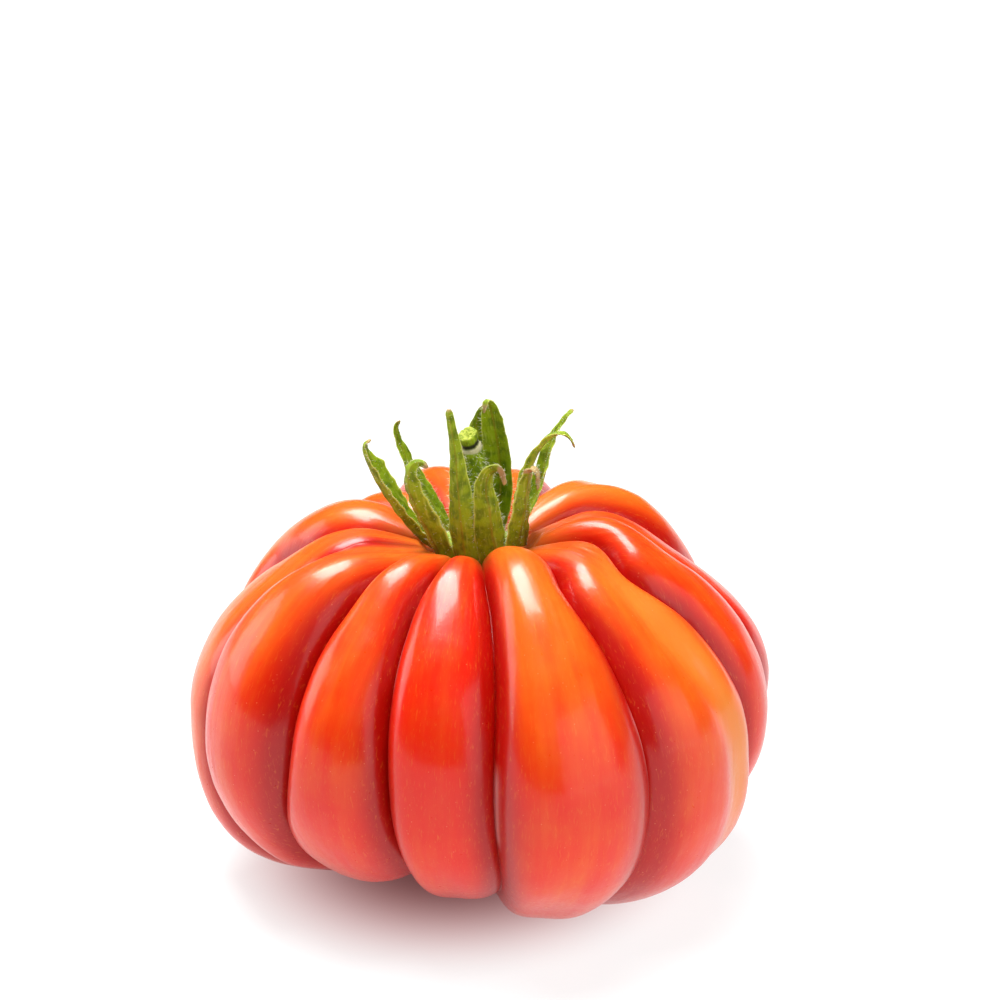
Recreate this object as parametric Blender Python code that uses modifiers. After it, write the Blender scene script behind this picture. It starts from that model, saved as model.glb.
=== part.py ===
"""A ribbed tomato, as picked: the lobed fruit, its calyx of curling sepals and the cut stub of its stem.

Metres, +Z up. The fruit rests at z = 0 on the flattened undersides of its lowest lobes. Azimuths are in
degrees, 0 at the front (-Y) and growing to the right (+X). A lobe's stations run from the stalk (0) to the
blossom end (1).
"""
import math
from collections import namedtuple

import bmesh
import bpy
import numpy as np
from mathutils import Matrix, Vector

MM = 0.001
GAP = 0.3 * MM

# Driving dimensions of the fruit
WIDTH = 99.6 * MM
DEPTH = 95.6 * MM
CROWN = 68.8 * MM             # height of the dome before the stalk's hollow is taken out of it
EQUATOR = 29.8 * MM           # height of the widest line
SAG = 3.0 * MM                # how far the lobes would reach below the table if it did not press them flat
TOP_HOLLOW = 12.5 * MM
TOP_HOLLOW_REACH = 17.5 * MM
BASE_HOLLOW = 3.5 * MM
BASE_HOLLOW_REACH = 14.0 * MM
GROOVE_DEPTH = 6.2 * MM
AXIS_X = -0.7 * MM            # where the stalk's axis stands, with the whole outline centred on the origin
AXIS_Y = 1.1 * MM

# Cross-section of a lobe: how square its crest is, and how steeply its flanks drop into the grooves
CREST_POWER = 2.6
FLANK_POWER = 0.66

# The plain form's lower half is fuller than an ellipsoid's
LOWER_RADIUS_POWER = 0.85
LOWER_HEIGHT_POWER = 0.95

# Where a groove reaches its full depth, where it starts to ease off, what it loses by the blossom end, and
# over how much of the end it closes
GROOVE_OPEN_AT = 0.17
GROOVE_EASES_FROM = 0.35
GROOVE_EASING = 0.35
GROOVE_CLOSING = 0.15

# Mesh density of the fruit, and how far its rings crowd towards both ends
COLUMNS_PER_LOBE = 8
RINGS = 40
RING_CROWDING = 0.04

# The calyx and the stem
SEAT_HEIGHT = 57.9 * MM
SEAT_RADIUS = 8.2 * MM
SEAT_HALF_THICKNESS = 1.2 * MM
SEAT_CLEARANCE = 0.8 * MM
SEAT_BANK = 1.6               # how steeply the fruit may rise round the seat
SEAT_SIDES = 28
SEAT_RINGS = 8
SEPAL_THICKNESS = 0.7 * MM
STEM_HEIGHT = 17.6 * MM
STEM_LEAN = 1.8 * MM          # how far the cut end stands to the left of the foot
STEM_BEND_POWER = 3.0         # the lean gathers towards the cut end

# Stations along a groove where its azimuth is given, held beyond the first and the last, and the stations
# along a lobe where its swelling is given, faded in and out at both ends
GROOVE_STATIONS = (0.12, 0.20, 0.30, 0.50, 0.80)
SWELL_STATIONS = (0.11, 0.26, 0.50, 0.74, 0.88)
SWELL_FADES = (0.03, 0.96)

Groove = namedtuple("Groove", "name azimuths shares")
Lobe = namedtuple("Lobe", "name swells lean")
Fold = namedtuple("Fold", "name azimuths depths half_width")
Sepal = namedtuple("Sepal", "name width fold azimuth spine")

# Deep grooves, going round to the right from the front: azimuths at the groove stations, and share of the
# full depth at the swell stations
GROOVES = (
    Groove("front", (3, 4, 4, 3, 6), (1.0, 1.0, 1.0, 0.8, 0.8)),
    Groove("right_1", (36, 30, 33, 35, 35), (1.0, 1.0, 1.0, 0.8, 0.8)),
    Groove("right_2", (70, 60, 67, 71, 81), (1.0, 1.0, 1.0, 0.8, 0.8)),
    Groove("right_3", (96, 89, 91, 92, 99), (0.5, 0.5, 0.6, 0.6, 0.6)),
    Groove("right_4", (120, 116, 115, 121, 128), (1.0, 1.0, 1.0, 0.8, 0.8)),
    Groove("right_5", (150, 153, 155, 160, 160), (1.0, 1.0, 1.0, 0.8, 0.8)),
    Groove("back_1", (180, 183, 185, 187, 187), (1.0, 1.0, 1.0, 0.8, 0.8)),
    Groove("back_2", (204, 205, 206, 208, 212), (1.0, 1.0, 1.0, 0.8, 0.8)),
    Groove("left_6", (228, 226, 226, 230, 238), (1.0, 1.0, 1.0, 0.8, 0.8)),
    Groove("left_5", (268, 264, 253, 259, 265), (1.0, 1.0, 1.0, 0.8, 0.8)),
    Groove("left_4", (291, 291, 286, 286, 291), (0.0, 0.5, 0.75, 0.8, 0.8)),
    Groove("left_3", (317, 316, 315, 315, 306), (1.0, 1.0, 1.0, 0.8, 0.8)),
    Groove("left_2", (341, 338, 338, 340, 342), (1.0, 1.0, 1.0, 1.1, 1.2)),
)

# The lobe to the right of each groove: how far it stands out of the plain form, in millimetres, and the lean
# of its crest towards one side
LOBES = (
    Lobe("right_1", (1.5, 2.0, 3.5, 1.2, 0.0), -0.15),
    Lobe("right_2", (0.0, -1.5, 0.0, 2.3, 2.0), 0.1),
    Lobe("right_3", (1.0, -1.5, -0.7, -0.3, 0.5), 0.0),
    Lobe("right_4", (-1.0, -3.5, 1.5, 1.0, 0.0), 0.0),
    Lobe("right_5", (0.5, 1.5, 2.0, 0.5, 0.5), 0.0),
    Lobe("back_1", (0.0, 1.0, 0.0, 0.5, 0.5), 0.0),
    Lobe("back_2", (0.0, 2.0, 0.0, 0.0, 0.0), 0.0),
    Lobe("left_6", (-2.0, -1.5, 0.0, 0.5, 0.5), 0.0),
    Lobe("left_5", (0.0, -1.0, -2.0, 0.5, 0.5), 0.0),
    Lobe("left_4", (-0.5, -3.5, -1.0, 3.0, 1.0), 0.0),
    Lobe("left_3", (-2.0, 0.0, -1.0, -1.0, -3.0), -0.15),
    Lobe("left_2", (-0.5, -3.5, -3.5, -4.0, -8.0), -0.15),
    Lobe("left_1", (0.0, -2.0, -3.5, -3.5, -3.5), -0.2),
)

# Soft folds on the lobes: depths and half width in millimetres
FOLDS = (
    Fold("right_1_low", (14, 14, 14, 14, 14), (0.0, 0.0, 0.0, 1.5, 1.0), 5.0),
    Fold("right_2_high", (52, 50, 50, 58, 62), (0.3, 1.6, 1.2, 0.5, 0.0), 3.2),
    Fold("left_1_low", (350, 350, 350, 350, 352), (0.0, 0.0, 0.2, 0.6, 0.8), 4.0),
    Fold("right_5_high", (136, 137, 138, 140, 140), (0.6, 0.8, 0.3, 0.0, 0.0), 3.0),
)

# Sepals, going round to the right from the far left: full width in millimetres, how far the halves fold
# towards each other in degrees, azimuth of the foot, and the midrib's points (x, y, height over the seat)
SEPALS = (
    Sepal("far_left", 4.6, 38, -94, ((-7.3, 0.4, -0.2), (-9.1, 0.6, 0.8), (-12.4, 1.0, 3.9),
          (-16.0, 1.6, 9.0), (-17.9, 2.0, 12.9), (-18.8, 2.2, 15.3), (-18.6, 2.3, 17.0))),
    Sepal("front_left", 5.2, 24, -50, ((-5.6, -4.5, -0.2), (-7.1, -5.0, 2.0), (-8.9, -5.5, 6.0),
          (-10.2, -5.9, 9.0), (-11.0, -6.2, 11.7), (-11.1, -6.4, 14.1), (-10.3, -6.5, 16.0),
          (-8.6, -6.7, 16.2))),
    Sepal("front", 5.0, 30, -14, ((-1.8, -6.9, -0.2), (-2.3, -7.5, 2.4), (-2.8, -7.8, 6.6),
          (-3.3, -7.7, 12.6), (-3.6, -7.4, 17.8), (-4.1, -7.2, 21.5), (-4.7, -6.9, 25.4))),
    Sepal("front_right", 5.4, 26, 24, ((2.8, -6.5, -0.2), (2.5, -7.0, 2.4), (2.0, -7.4, 5.4),
          (1.5, -7.6, 9.8), (1.2, -7.7, 12.9), (1.9, -7.9, 15.2), (3.6, -8.5, 15.4), (4.1, -8.9, 13.6))),
    Sepal("right_front", 4.2, 20, 62, ((6.0, -3.6, -0.2), (6.5, -3.8, 2.6), (7.2, -3.9, 6.7),
          (7.7, -3.9, 11.4), (8.4, -4.4, 14.2), (9.6, -5.0, 13.2))),
    Sepal("right", 4.4, 28, 80, ((7.2, 0.4, -0.2), (7.5, 0.9, 2.9), (7.7, 1.2, 6.4), (8.1, 1.3, 9.5),
          (8.7, 1.4, 12.7), (9.9, 1.4, 15.8), (12.0, 1.2, 18.2), (14.4, 1.1, 18.5), (15.9, 0.8, 16.6))),
    Sepal("right_back", 3.6, 30, 122, ((6.3, 3.9, -0.2), (7.8, 4.6, 2.5), (9.7, 5.4, 6.2),
          (11.0, 6.4, 10.5), (12.1, 7.3, 14.4), (13.5, 8.2, 17.5), (15.9, 9.0, 20.4))),
    Sepal("back", 5.0, 24, 162, ((2.6, 7.0, -0.2), (3.5, 7.9, 3.2), (3.8, 8.5, 8.6), (3.4, 8.4, 14.1),
          (2.6, 7.8, 19.0), (1.8, 6.6, 22.6))),
    Sepal("back_left", 4.4, 24, 198, ((-2.2, 7.0, -0.2), (-1.9, 8.0, 3.6), (-1.5, 9.0, 9.6),
          (-0.8, 9.4, 15.2), (0.1, 9.2, 19.4), (0.8, 8.8, 21.1))),
    Sepal("left_back", 3.6, 26, -126, ((-5.4, 4.2, -0.2), (-6.5, 5.0, 2.0), (-8.0, 5.8, 4.9),
          (-10.6, 6.9, 9.2), (-12.3, 7.7, 12.4), (-13.6, 8.6, 15.9), (-13.4, 8.7, 18.0))),
)
SEPAL_STEPS_ALONG = 12
SEPAL_STEPS_ACROSS = 4
SEPAL_CURL_POWER = 1.4        # how the halves curve inwards from the midrib
SEPAL_WIDTH_STATIONS = (0.0, 0.25, 0.50, 0.75, 0.92, 1.0)
SEPAL_WIDTH_SHARES = (0.90, 1.00, 0.82, 0.52, 0.30, 0.24)

# The stem from its cut end down: radius, and depth below the cut end, in millimetres. The waist is where it
# parted from the plant, over a dried ring.
STEM_PROFILE = (
    (0.0, 0.5), (0.9, 0.2), (1.3, 0.0), (1.5, 0.3), (1.55, 1.4), (1.25, 1.8), (1.25, 2.1), (1.7, 2.4),
    (1.7, 2.8), (1.85, 4.2), (2.15, 7.5), (2.3, 12.0), (2.7, 16.0),
)
STEM_SIDES = 20


def smooth_step(x):
    x = min(max(x, 0.0), 1.0)
    return x * x * (3 - 2 * x)


def along_lobe(s, values, fades=True):
    """A value given at the swell stations, joined smoothly, faded to nothing at both ends or held."""
    first, last = (0.0, 0.0) if fades else (values[0], values[-1])
    places = (0.0, SWELL_FADES[0], *SWELL_STATIONS, SWELL_FADES[1], 1.0)
    levels = (first, first, *values, last, last)
    part = float(np.interp(s, places, range(len(places))))
    i = min(int(part), len(places) - 2)
    return levels[i] + (levels[i + 1] - levels[i]) * smooth_step(part - i)


def azimuth_slope(azimuths, i):
    """How fast the azimuth changes at a station: it holds still at the first and the last."""
    if i in (0, len(azimuths) - 1):
        return 0.0
    return (azimuths[i + 1] - azimuths[i - 1]) / (GROOVE_STATIONS[i + 1] - GROOVE_STATIONS[i - 1])


def azimuth_at(azimuths, s):
    """The azimuth of a groove or a fold: a smooth curve through its stations."""
    s = min(max(s, GROOVE_STATIONS[0]), GROOVE_STATIONS[-1])
    i = min(int(np.searchsorted(GROOVE_STATIONS, s, side="right")) - 1, len(GROOVE_STATIONS) - 2)
    span = GROOVE_STATIONS[i + 1] - GROOVE_STATIONS[i]
    t = (s - GROOVE_STATIONS[i]) / span
    leaving = azimuth_slope(azimuths, i) * span * (t ** 3 - 2 * t ** 2 + t)
    arriving = azimuth_slope(azimuths, i + 1) * span * (t ** 3 - t ** 2)
    return azimuths[i] + (azimuths[i + 1] - azimuths[i]) * smooth_step(t) + leaving + arriving


def profile(s):
    """Radius as a share of the half width, and height, of the fruit without its lobes."""
    angle = math.pi * s
    sine = max(math.sin(angle), 0.0)
    cosine = abs(math.cos(angle))
    if s < 0.5:
        radius = sine
        height = EQUATOR + (CROWN - EQUATOR) * cosine
        height -= TOP_HOLLOW * math.exp(-(radius * WIDTH / 2 / TOP_HOLLOW_REACH) ** 2)
    else:
        radius = sine ** LOWER_RADIUS_POWER
        height = EQUATOR - (EQUATOR + SAG) * cosine ** LOWER_HEIGHT_POWER
        height += BASE_HOLLOW * math.exp(-(radius * WIDTH / 2 / BASE_HOLLOW_REACH) ** 2)
    return radius, height


def profile_normal(s):
    """The direction that faces into the fruit at a station, as (radial, up)."""
    step = 0.004
    r0, z0 = profile(max(s - step, 0.0))
    r1, z1 = profile(min(s + step, 1.0))
    along = Vector(((r1 - r0) * WIDTH / 2, z1 - z0))
    along.normalize()
    return along.y, -along.x


def groove_depth(s):
    """Grooves open out of the stalk's hollow, ease off below the shoulder and close at the blossom end."""
    opening = smooth_step(s / GROOVE_OPEN_AT)
    easing = 1 - GROOVE_EASING * max((s - GROOVE_EASES_FROM) / (1 - GROOVE_EASES_FROM), 0.0)
    return GROOVE_DEPTH * opening * easing * smooth_step((1 - s) / GROOVE_CLOSING)


def lobe_height(u, lean):
    """1 on the crest (near u = 0) and 0 in the grooves (u = -1 and 1)."""
    v = (u - lean) / (1 - lean * u)
    return (1 - min(abs(v), 1.0) ** CREST_POWER) ** FLANK_POWER


def fold_depth(azimuth, s, radius):
    """How far the soft folds sink the skin at one place."""
    depth = 0.0
    for fold in FOLDS:
        turn = (azimuth - azimuth_at(fold.azimuths, s) + 180) % 360 - 180
        across = math.radians(turn) * radius / (fold.half_width * MM)
        depth += along_lobe(s, fold.depths) * MM * math.exp(-across ** 2)
    return depth


def under_seat(radius):
    """The highest that the fruit may reach near the calyx, whose underside it keeps clear of."""
    edge = SEAT_RADIUS + SEAT_CLEARANCE
    if radius < edge:
        return SEAT_HEIGHT - SEAT_HALF_THICKNESS * math.sqrt(1 - (radius / edge) ** 2) - SEAT_CLEARANCE
    return SEAT_HEIGHT - SEAT_CLEARANCE + (radius - edge) * SEAT_BANK


def fruit_point(lobe, u, s):
    """Where the skin is at station s, u across lobe number `lobe` from its left groove to its right one."""
    left, right = lobe, (lobe + 1) % len(GROOVES)
    start = azimuth_at(GROOVES[left].azimuths, s)
    end = azimuth_at(GROOVES[right].azimuths, s) + (360 if right == 0 else 0)
    azimuth = start + (end - start) * (u + 1) / 2
    radius, height = profile(s)
    level = lobe_height(u, LOBES[lobe].lean)
    near_groove = GROOVES[left if u < 0 else right]
    neighbour = LOBES[(lobe + (-1 if u < 0 else 1)) % len(LOBES)]
    swell = along_lobe(s, LOBES[lobe].swells) * (0.5 + 0.5 * level)
    swell += along_lobe(s, neighbour.swells) * (0.5 - 0.5 * level)
    inward = groove_depth(s) * along_lobe(s, near_groove.shares, fades=False) * (1 - level) - swell * MM
    inward += fold_depth(azimuth, s, radius * WIDTH / 2)
    radial, up = profile_normal(s)
    out_x = radius * WIDTH / 2 + radial * inward
    out_y = radius * DEPTH / 2 + radial * inward
    z = min(height + up * inward, under_seat(out_x))
    angle = math.radians(azimuth)
    return Vector((AXIS_X + out_x * math.sin(angle), AXIS_Y - out_y * math.cos(angle), max(z, 0.0)))


def material(name, colour, roughness, metallic=0.0):
    made = bpy.data.materials.new(name)
    made.use_nodes = True
    shader = made.node_tree.nodes["Principled BSDF"]
    shader.inputs["Base Color"].default_value = (*colour, 1.0)
    shader.inputs["Roughness"].default_value = roughness
    shader.inputs["Metallic"].default_value = metallic
    return made


def mesh_object(name, bm, collection, surface):
    mesh = bpy.data.meshes.new(name)
    bmesh.ops.recalc_face_normals(bm, faces=bm.faces)
    bm.to_mesh(mesh)
    bm.free()
    mesh.shade_smooth()
    made = bpy.data.objects.new(name, mesh)
    made.data.materials.append(surface)
    collection.objects.link(made)
    return made


def apply_modifiers(thing):
    """Replace the object's mesh with the one that its modifiers make."""
    shown = thing.evaluated_get(bpy.context.evaluated_depsgraph_get())
    mesh = bpy.data.meshes.new_from_object(shown)
    thing.modifiers.clear()
    thing.data = mesh


def make_fruit(collection):
    """A sphere whose columns are led along the grooves and lobes."""
    columns = COLUMNS_PER_LOBE * len(LOBES)
    bm = bmesh.new()
    bmesh.ops.create_uvsphere(bm, u_segments=columns, v_segments=RINGS, radius=1.0)
    for vert in bm.verts:
        even = math.acos(min(max(vert.co.z, -1.0), 1.0)) / math.pi
        s = even - RING_CROWDING * math.sin(2 * math.pi * even)
        column = round(math.atan2(vert.co.x, -vert.co.y) / (2 * math.pi) * columns) % columns
        lobe, place = divmod(column, COLUMNS_PER_LOBE)
        u = math.sin(math.pi / 2 * (2 * place / COLUMNS_PER_LOBE - 1))
        vert.co = fruit_point(lobe, u, s)
    return mesh_object("fruit", bm, collection, material("tomato_skin", (0.78, 0.07, 0.015), 0.22))


def curve_point(points, place):
    """A point of a smooth curve through the given points, which are at place 0, 1, 2 and so on."""
    i = min(int(place), len(points) - 2)
    f = place - i
    before, here = Vector(points[max(i - 1, 0)]), Vector(points[i])
    after, beyond = Vector(points[i + 1]), Vector(points[min(i + 2, len(points) - 1)])
    leaving = (after - before) / 2 * (f ** 3 - 2 * f ** 2 + f)
    arriving = (beyond - here) / 2 * (f ** 3 - f ** 2)
    return here.lerp(after, smooth_step(f)) + leaving + arriving


def even_steps(points, count):
    """Points at equal distances along the smooth curve, both ends included."""
    samples = 200
    fine = [curve_point(points, (len(points) - 1) * k / samples) for k in range(samples + 1)]
    lengths = np.cumsum([0.0] + [(b - a).length for a, b in zip(fine, fine[1:])])
    wanted = np.linspace(0.0, lengths[-1], count + 1)
    return [Vector([np.interp(w, lengths, [p[axis] for p in fine]) for axis in range(3)]) for w in wanted]


def sepal_frames(sepal):
    """Middle, sideways and outward directions at each step of a sepal, carried along its midrib."""
    azimuth = math.radians(sepal.azimuth)
    outward = Vector((math.sin(azimuth), -math.cos(azimuth), 0.0))
    seat = Vector((AXIS_X, AXIS_Y, SEAT_HEIGHT))
    middles = even_steps(sepal.spine, SEPAL_STEPS_ALONG)
    frames = []
    for step, middle in enumerate(middles):
        along = middles[min(step + 1, SEPAL_STEPS_ALONG)] - middles[max(step - 1, 0)]
        along.normalize()
        outward = (outward - along * outward.dot(along)).normalized()
        frames.append((seat + middle * MM, along.cross(outward), outward))
    return frames


def make_sepal(sepal, collection, surface):
    """A pointed leaf, folded along its midrib down to the flat tip, with its hollow side towards the stem."""
    frames = sepal_frames(sepal)
    bm = bmesh.new()
    bmesh.ops.create_grid(bm, x_segments=SEPAL_STEPS_ACROSS, y_segments=SEPAL_STEPS_ALONG, size=1.0)
    for vert in bm.verts:
        across = vert.co.x
        t = (vert.co.y + 1) / 2
        middle, sideways, outward = frames[round(t * SEPAL_STEPS_ALONG)]
        fold = math.radians(sepal.fold) * (1 - t ** 4)
        half = sepal.width / 2 * MM * float(np.interp(t, SEPAL_WIDTH_STATIONS, SEPAL_WIDTH_SHARES))
        side = sideways * across * half * math.cos(fold)
        inward = outward * abs(across) ** SEPAL_CURL_POWER * half * math.sin(fold)
        vert.co = middle + side - inward
    bmesh.ops.triangulate(bm, faces=bm.faces)
    made = mesh_object("sepal_" + sepal.name, bm, collection, surface)
    shell = made.modifiers.new("thickness", "SOLIDIFY")
    shell.thickness = SEPAL_THICKNESS
    shell.offset = 0.0
    shell.use_even_offset = True
    apply_modifiers(made)
    return made


def make_calyx(collection):
    """The round seat on the fruit, with the sepals fused to its rim."""
    surface = material("sepal_green", (0.12, 0.22, 0.03), 0.6)
    sepals = bpy.data.collections.new("sepals")
    bpy.context.scene.collection.children.link(sepals)
    for sepal in SEPALS:
        make_sepal(sepal, sepals, surface)
    bm = bmesh.new()
    bmesh.ops.create_uvsphere(bm, u_segments=SEAT_SIDES, v_segments=SEAT_RINGS, radius=1.0)
    bmesh.ops.scale(bm, vec=(SEAT_RADIUS, SEAT_RADIUS, SEAT_HALF_THICKNESS), verts=bm.verts)
    bmesh.ops.translate(bm, vec=(AXIS_X, AXIS_Y, SEAT_HEIGHT), verts=bm.verts)
    calyx = mesh_object("calyx", bm, collection, surface)
    union = calyx.modifiers.new("fused", "BOOLEAN")
    union.operation = "UNION"
    union.operand_type = "COLLECTION"
    union.collection = sepals
    union.solver = "EXACT"
    apply_modifiers(calyx)
    for sepal in list(sepals.objects):
        bpy.data.objects.remove(sepal)
    bpy.data.collections.remove(sepals)
    calyx.data.set_sharp_from_angle(angle=math.radians(50))
    return calyx


def make_stem(collection):
    """A turned stub that leans to the left towards its cut end."""
    bm = bmesh.new()
    ring = [bm.verts.new((radius * MM, 0.0, STEM_HEIGHT - depth * MM)) for radius, depth in STEM_PROFILE]
    ring.append(bm.verts.new((STEM_PROFILE[-1][0] * MM, 0.0, 0.0)))
    ring.append(bm.verts.new((0.0, 0.0, 0.0)))
    for upper, lower in zip(ring, ring[1:]):
        bm.edges.new((upper, lower))
    stem = mesh_object("stem", bm, collection, material("stem_green", (0.16, 0.24, 0.04), 0.6))
    turn = stem.modifiers.new("turned", "SCREW")
    turn.steps = STEM_SIDES
    turn.render_steps = STEM_SIDES
    turn.use_merge_vertices = True
    turn.merge_threshold = 0.00001
    apply_modifiers(stem)
    foot = SEAT_HEIGHT + SEAT_HALF_THICKNESS + GAP
    for vert in stem.data.vertices:
        share = vert.co.z / STEM_HEIGHT
        vert.co.x -= STEM_LEAN * share ** STEM_BEND_POWER
    stem.data.transform(Matrix.Translation((AXIS_X, AXIS_Y, foot)))
    stem.data.shade_smooth()
    stem.data.set_sharp_from_angle(angle=math.radians(40))
    return stem


def main():
    for thing in list(bpy.data.objects):
        bpy.data.objects.remove(thing)
    tomato = bpy.data.collections.new("tomato")
    bpy.context.scene.collection.children.link(tomato)
    make_fruit(tomato)
    make_calyx(tomato)
    make_stem(tomato)


main()
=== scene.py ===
import math
from collections import namedtuple

import bmesh
import bpy
import numpy as np
from mathutils import Matrix, Vector, noise


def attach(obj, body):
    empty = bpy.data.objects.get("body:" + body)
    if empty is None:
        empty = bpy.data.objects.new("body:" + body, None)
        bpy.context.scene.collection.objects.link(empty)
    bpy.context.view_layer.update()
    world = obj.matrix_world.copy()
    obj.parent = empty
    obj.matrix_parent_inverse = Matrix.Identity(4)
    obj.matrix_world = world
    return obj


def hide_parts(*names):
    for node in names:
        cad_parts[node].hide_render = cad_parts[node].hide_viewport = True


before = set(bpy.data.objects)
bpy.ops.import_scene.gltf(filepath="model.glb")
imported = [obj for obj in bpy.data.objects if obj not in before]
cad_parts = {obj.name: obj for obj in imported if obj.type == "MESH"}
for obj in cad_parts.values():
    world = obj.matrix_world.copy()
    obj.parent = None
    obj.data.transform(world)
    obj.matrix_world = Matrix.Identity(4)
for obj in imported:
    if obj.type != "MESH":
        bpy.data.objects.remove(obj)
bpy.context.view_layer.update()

MM = 0.001

# The fruit's plain form, as the solid has it
WIDTH = 99.6 * MM
DEPTH = 95.6 * MM
CROWN = 68.8 * MM
EQUATOR = 29.8 * MM
SAG = 3.0 * MM
TOP_HOLLOW = 12.5 * MM
TOP_HOLLOW_REACH = 17.5 * MM
BASE_HOLLOW = 3.5 * MM
BASE_HOLLOW_REACH = 14.0 * MM
GROOVE_DEPTH = 6.2 * MM
AXIS_X = -0.7 * MM
AXIS_Y = 1.1 * MM
CREST_POWER = 2.6
FLANK_POWER = 0.66
LOWER_RADIUS_POWER = 0.85
LOWER_HEIGHT_POWER = 0.95
GROOVE_OPEN_AT = 0.17
GROOVE_EASES_FROM = 0.35
GROOVE_EASING = 0.35
GROOVE_CLOSING = 0.15
SEAT_HEIGHT = 57.9 * MM
SEAT_RADIUS = 8.2 * MM
SEAT_HALF_THICKNESS = 1.2 * MM
SEAT_CLEARANCE = 0.8 * MM
SEAT_BANK = 1.6
GROOVE_STATIONS = (0.12, 0.20, 0.30, 0.50, 0.80)
SWELL_STATIONS = (0.11, 0.26, 0.50, 0.74, 0.88)
SWELL_FADES = (0.03, 0.96)

# How finely the skin is meshed, and how its rings and columns crowd towards the ends and the grooves
COLUMNS_PER_LOBE = 30
RINGS = 210
RING_CROWDING = 0.04

Groove = namedtuple("Groove", "name azimuths shares")
Lobe = namedtuple("Lobe", "name swells lean orange")
Fold = namedtuple("Fold", "name azimuths depths half_width")
Blush = namedtuple("Blush", "name azimuths strengths half_width")
Scar = namedtuple("Scar", "name azimuths start end half_width")
Sepal = namedtuple("Sepal", "name lefts rights folds twist azimuth dried spine")

# Grooves from the front round to the right: azimuths at the stations, share of the full depth
GROOVES = (
    Groove("front", (3, 4, 4, 3, 6), (1.0, 1.0, 1.0, 0.8, 0.8)),
    Groove("right_1", (36, 30, 33, 35, 35), (1.0, 1.0, 1.0, 0.8, 0.8)),
    Groove("right_2", (70, 60, 67, 71, 81), (1.0, 1.0, 1.0, 0.8, 0.8)),
    Groove("right_3", (96, 89, 91, 92, 99), (0.5, 0.5, 0.6, 0.6, 0.6)),
    Groove("right_4", (120, 116, 115, 121, 128), (1.0, 1.0, 1.0, 0.8, 0.8)),
    Groove("right_5", (150, 153, 155, 160, 160), (1.0, 1.0, 1.0, 0.8, 0.8)),
    Groove("back_1", (180, 183, 185, 187, 187), (1.0, 1.0, 1.0, 0.8, 0.8)),
    Groove("back_2", (204, 205, 206, 208, 212), (1.0, 1.0, 1.0, 0.8, 0.8)),
    Groove("left_6", (228, 226, 226, 230, 238), (1.0, 1.0, 1.0, 0.8, 0.8)),
    Groove("left_5", (268, 264, 253, 259, 265), (1.0, 1.0, 1.0, 0.8, 0.8)),
    Groove("left_4", (291, 291, 286, 286, 291), (0.0, 0.5, 0.75, 0.8, 0.8)),
    Groove("left_3", (317, 316, 315, 315, 306), (1.0, 1.0, 1.0, 0.8, 0.8)),
    Groove("left_2", (341, 338, 338, 340, 342), (1.0, 1.0, 1.0, 1.1, 1.2)),
)

# Lobes: swelling in millimetres, lean of the crest, and how orange the crest is at the swell stations
LOBES = (
    Lobe("right_1", (1.5, 2.0, 3.5, 1.2, 0.0), -0.15, (0.8, 0.85, 0.35, 0.4, 0.4)),
    Lobe("right_2", (0.0, -1.5, 0.0, 2.3, 2.0), 0.1, (0.6, 0.75, 0.5, 0.3, 0.3)),
    Lobe("right_3", (1.0, -1.5, -0.7, -0.3, 0.5), 0.0, (0.6, 0.5, 0.3, 0.2, 0.2)),
    Lobe("right_4", (-1.0, -3.5, 1.5, 1.0, 0.0), 0.0, (0.6, 0.5, 0.3, 0.2, 0.2)),
    Lobe("right_5", (0.5, 1.5, 2.0, 0.5, 0.5), 0.0, (0.9, 0.9, 0.6, 0.3, 0.3)),
    Lobe("back_1", (0.0, 1.0, 0.0, 0.5, 0.5), 0.0, (0.8, 0.8, 0.4, 0.3, 0.3)),
    Lobe("back_2", (0.0, 2.0, 0.0, 0.0, 0.0), 0.0, (0.8, 0.8, 0.4, 0.3, 0.3)),
    Lobe("left_6", (-2.0, -1.5, 0.0, 0.5, 0.5), 0.0, (0.8, 0.8, 0.4, 0.3, 0.3)),
    Lobe("left_5", (0.0, -1.0, -2.0, 0.5, 0.5), 0.0, (0.8, 0.9, 0.6, 0.3, 0.3)),
    Lobe("left_4", (-0.5, -3.5, -1.0, 3.0, 1.0), 0.0, (0.7, 0.85, 0.8, 0.4, 0.3)),
    Lobe("left_3", (-2.0, 0.0, -1.0, -1.0, -3.0), -0.15, (0.6, 0.6, 0.35, 0.25, 0.25)),
    Lobe("left_2", (-0.5, -3.5, -3.5, -4.0, -8.0), -0.15, (0.6, 0.5, 0.35, 0.3, 0.3)),
    Lobe("left_1", (0.0, -2.0, -3.5, -3.5, -3.5), -0.2, (0.4, 0.3, 0.2, 0.3, 0.3)),
)

# Folds on the lobes: depths at the swell stations and half width, in millimetres
FOLDS = (
    Fold("right_1_low", (14, 14, 14, 14, 14), (0.0, 0.0, 0.0, 1.5, 1.0), 5.0),
    Fold("right_2_high", (52, 50, 50, 58, 62), (0.3, 1.6, 1.2, 0.5, 0.0), 3.2),
    Fold("left_1_low", (350, 350, 350, 350, 352), (0.0, 0.0, 0.2, 0.6, 0.8), 4.0),
    Fold("right_5_high", (136, 137, 138, 140, 140), (0.6, 0.8, 0.3, 0.0, 0.0), 3.0),
)

# Patches of yellower skin: strength at the swell stations, half width in millimetres
BLUSHES = (
    Blush("right_2_stripe", (52, 49, 53, 60, 63), (0.2, 0.6, 0.9, 0.4, 0.0), 4.5),
    Blush("left_3_crest", (302, 302, 301, 298, 296), (0.2, 0.3, 0.2, 0.0, 0.0), 6.0),
    Blush("right_5_crest", (134, 135, 136, 142, 142), (0.3, 0.6, 0.2, 0.0, 0.0), 7.0),
)

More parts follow.
